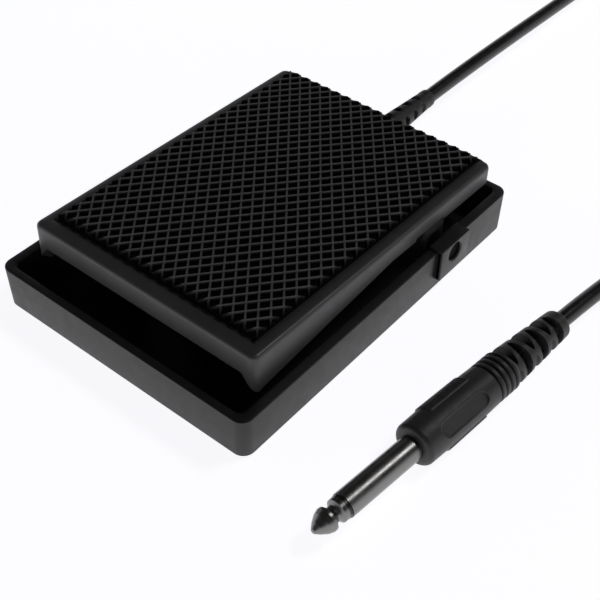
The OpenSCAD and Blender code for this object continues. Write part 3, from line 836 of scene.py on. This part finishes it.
def cable_path(plug):
    """Centre line: straight to the boot's end, settling to the floor as it turns back, rising to the plug."""
    x, z = boot_axis()
    y = extent("cable_boot")[1][1]
    along = (plug.to_3x3() @ Vector((0, 1, 0))).normalized()
    finish = plug @ Vector((0, extent("plug_handle", plug)[1][1] - 1, 0))
    rest = CABLE_R + 0.03
    turn_a = Vector((x + DRIFT, LOOP_Y, rest))
    across = Vector((-along[1], along[0], 0))
    r = (turn_a - finish).dot(across) / (1 + along[1])
    middle = turn_a + Vector((r, 0, 0))
    run = (middle - r * across - finish).to_2d().length
    sweep = math.pi + math.atan2(along[0], along[1])

    def settled(s):
        return mix(z, rest, ease(s / SETTLE))

    steps, turn_steps = 40, 60
    points = [(x, JACKET_END, z), (x, y - 1, z)]
    for i in range(steps):
        t = i / steps
        points.append((mix(x, turn_a[0], ease(t)), mix(y, LOOP_Y, t), settled((LOOP_Y - y) * t)))
    for i in range(turn_steps + 1):
        a = math.pi - sweep * i / turn_steps
        height = settled(LOOP_Y - y + r * sweep * i / turn_steps)
        points.append((middle[0] + r * math.cos(a), middle[1] + r * math.sin(a), height))
    for i in range(1, steps + 1):
        s = run * (1 - i / steps)
        height = mix(finish[2], rest, ease(s / SINK))
        points.append((finish[0] + along[0] * s, finish[1] + along[1] * s, height))
    return points


def cable(plug):
    return swept("cable", cable_path(plug), CABLE_R - CABLE_SLIM, 32)


# ---- Plug handle: distances along it are from its front face ----

GRIP = (7.0, 20.5, 3.1)          # the grip panels' start, end and half width
GRIP_RISE = 0.32                 # how far the panels stand proud
GRIP_RIBS = (0.75, 0.16)         # spacing and depth of the fine grooves across a panel
OVAL = (5.4, 21.4, 2.1)          # the oval panel's start, end and half width
OVAL_FLOOR = 5.0                 # its height above the handle's axis
RING_GROOVES = [26.0 + 1.8 * i for i in range(4)]
RING_DEPTH = 0.62                # depth of those grooves
SIDE_SLOTS = [33.6 + 6.9 * i for i in range(3)]
TOP_SLOTS = [37.0 + 6.75 * i for i in range(3)]
SLOT_REACH = math.radians(80)    # how far round the tail each slot runs from its middle
SLOT_HALF = 1.3                  # half length of a slot along the tail, at its middle
SLOT_FLOOR = 2.45                # radius of the slots' floors


def off_axis(a, turn):
    """Angle from the nearer of two opposite directions."""
    return abs(math.remainder(a - turn, math.pi))


def handle_profile(s, length):
    """Radius of the plain handle, with rounded ends."""
    front, back = 1.4, 0.6
    grip = [(0, 5.5), (8, 5.62), (22, 5.45), (25, 5.35), (32.5, 5.35)]
    tail = [(33, 5.1), (length - 3.6, 4.05), (length, 3.8)]
    r = line_through(grip + tail, s)
    for radius, inside in ((front, s), (back, length - s)):
        if inside < radius:
            r -= radius - math.sqrt(radius ** 2 - (radius - inside) ** 2)
    return r


def grip_height(s, a):
    """Raised finger panels on both sides, with fine ribs across them."""
    start, end, half = GRIP
    handle_r, border = 5.6, 0.35
    inside = min(s - start, end - s, half - off_axis(a, 0) * handle_r)
    if inside < 0:
        return 0.0
    spacing, depth = GRIP_RIBS
    grooves = depth * (0.5 + 0.5 * math.cos(2 * math.pi * s / spacing)) * ease((inside - border) / 0.2)
    return GRIP_RISE * ease(inside / 0.3) - grooves


def oval_panel(s, a, r):
    """The plain oval panel on top, sunk to a flat floor."""
    start, end, half = OVAL
    if math.sin(a) < 0.5:
        return r
    outside = math.hypot(s - clamp(s, start + half, end - half), r * math.cos(a)) - half
    return mix(min(r, OVAL_FLOOR / math.sin(a)), r, ease(outside / 0.16 + 0.5))


def bend_slots(s, a, r):
    """Lens-shaped slots let the tail bend: pairs on the sides alternate with pairs above and below."""
    for middles, turn in ((SIDE_SLOTS, 0), (TOP_SLOTS, math.pi / 2)):
        spread = off_axis(a, turn) / SLOT_REACH
        near = min(abs(s - middle) for middle in middles)
        if spread < 1:
            half = SLOT_HALF * (1 - spread ** 2) ** 0.7
            r = mix(r, min(r, SLOT_FLOOR), ease((half - near) / 0.2 + 0.5))
    return r


def plug_handle(plug):
    low, high = extent("plug_handle", plug)
    length = high[1] - low[1]

    def radius(s, a):
        r = handle_profile(s, length) + grip_height(s, a)
        r -= RING_DEPTH * ease(1.35 - min(abs(s - ring) for ring in RING_GROOVES) / 0.34)
        return bend_slots(s, a, oval_panel(s, a, r))

    return move(wrapped("plug_handle", length, radius, 0.15, 176), 0, low[1], 0)


# ---- Build ----

PLUG = plug_frame()

place(tray(), "base", TRAY_PLASTIC, "tray_plastic", ["base_tray"])
place(tray_inside(), "base", TRAY_PLASTIC, "tray_plastic")
place(mat(), "base", PLAIN_RUBBER, "mat_rubber", ["base_mat"])
place(tread(), "tread", TREAD_PLASTIC, "tread_plastic", ["tread_shell"], TREAD)
place(tread_inside(), "tread", TREAD_PLASTIC, "tread_plastic", (), TREAD)
place(pad(), "tread", PAD_RUBBER, "pad_rubber", ["tread_pad"], TREAD)
place(boot(), "base", BOOT_RUBBER, "boot_rubber", ["cable_boot"], sharp=60)
place(boot_flange(), "base", BOOT_RUBBER, "boot_rubber")
place(cable(PLUG), "base", CABLE_PVC, "cable_pvc", ["cable_jacket"])
place(plug_handle(PLUG), "base", PLUG_PLASTIC, "plug_plastic", ["plug_handle"], PLUG, sharp=60)

CAD_LOOKS = {
    "stop_bumpers": PLAIN_RUBBER, "return_spring": STEEL, "hinge_pins": PIN_PLASTIC,
    "switch_board": laminate("laminate"), "board_screws": STEEL, "clamp_screws": STEEL, "switch_cover": STEEL,
    "switch_housing": coloured_plastic("switch_blue", (0.02, 0.06, 0.18, 1), 0.35),
    "switch_terminals": BRASS, "contact_bridge": BRASS, "switch_spring": STEEL,
    "switch_plunger": coloured_plastic("ivory", (0.75, 0.72, 0.62, 1), 0.4),
    "cable_clamp": TREAD_PLASTIC,
    "signal_wire": coloured_plastic("red_pvc", (0.45, 0.03, 0.02, 1), 0.35),
    "ground_wire": plated("tinned", (0.56, 0.54, 0.50, 1), 0.35),
    "plug_sleeve": NICKEL, "plug_tip": NICKEL, "plug_bush": BUSH_PLASTIC,
}
for name, material in CAD_LOOKS.items():
    node = frame["nodes"][name]
    node.data.materials.clear()
    node.data.materials.append(material)


# ---- Stage ----

def floor():
    """A pale light table: it glows, so that shadows on it stay faint."""
    sheet = new_object("floor", [(-3, -3, 0), (3, -3, 0), (3, 3, 0), (-3, 3, 0)], [(0, 1, 2, 3)])
    n = Nodes("pale_floor")
    shade = n.blend(n.noise(120.0, 2.0), grey(0.40), grey(0.43))
    sheet.data.materials.append(n.finish(Base_Color=shade, Roughness=0.9, Specular_IOR_Level=0.0,
                                         Emission_Color=grey(0.90), Emission_Strength=1.0))


def studio():
    """A bright band of light near the horizon under a dark ceiling; the camera sees a white backdrop."""
    world = bpy.data.worlds.new("studio")
    bpy.context.scene.world = world
    world.use_nodes = True
    tree = world.node_tree
    where = tree.nodes.new("ShaderNodeTexCoord")
    split = tree.nodes.new("ShaderNodeSeparateXYZ")
    ceiling = tree.nodes.new("ShaderNodeMapRange")
    path = tree.nodes.new("ShaderNodeLightPath")
    brighter = tree.nodes.new("ShaderNodeMath")
    brighter.operation = "MAXIMUM"
    ceiling.inputs["From Min"].default_value = 0.15
    ceiling.inputs["From Max"].default_value = 0.45
    ceiling.inputs["To Min"].default_value = 0.8
    ceiling.inputs["To Max"].default_value = 0.03
    tree.links.new(where.outputs["Generated"], split.inputs[0])
    tree.links.new(split.outputs["Z"], ceiling.inputs["Value"])
    tree.links.new(ceiling.outputs[0], brighter.inputs[0])
    tree.links.new(path.outputs["Is Camera Ray"], brighter.inputs[1])
    tree.links.new(brighter.outputs[0], tree.nodes["Background"].inputs["Color"])


def area_light(name, at, target, size, power):
    data = bpy.data.lights.new(name, "AREA")
    data.energy = power
    data.shape = "RECTANGLE"
    data.size, data.size_y = size
    light = bpy.data.objects.new(name, data)
    light.location = at
    light.rotation_mode = "QUATERNION"
    light.rotation_quaternion = (Vector(target) - Vector(at)).to_track_quat("-Z", "Y")
    bpy.context.scene.collection.objects.link(light)


def camera():
    azimuth, elevation, roll = math.radians(39.15), math.radians(44.11), math.radians(0.55)
    distance = 0.2925
    target = Vector((0.0169, -0.0056, extent("base_tray")[0][2] * MM))
    back = Vector((math.sin(azimuth) * math.cos(elevation), -math.cos(azimuth) * math.cos(elevation),
                   math.sin(elevation)))
    data = bpy.data.cameras.new("camera")
    data.lens = 67.95
    data.sensor_width = 36
    data.clip_start = 0.01
    cam = bpy.data.objects.new("camera", data)
    cam.location = target + back * distance
    cam.rotation_mode = "QUATERNION"
    cam.rotation_quaternion = (-back).to_track_quat("-Z", "Y") @ Matrix.Rotation(roll, 3, "Z").to_quaternion()
    bpy.context.scene.collection.objects.link(cam)
    bpy.context.scene.camera = cam


floor()
studio()
area_light("key", at=(0.40, 0.55, 0.99), target=(0.03, 0, 0), size=(0.30, 0.15), power=2)
camera()
bpy.context.scene.view_settings.view_transform = "Standard"
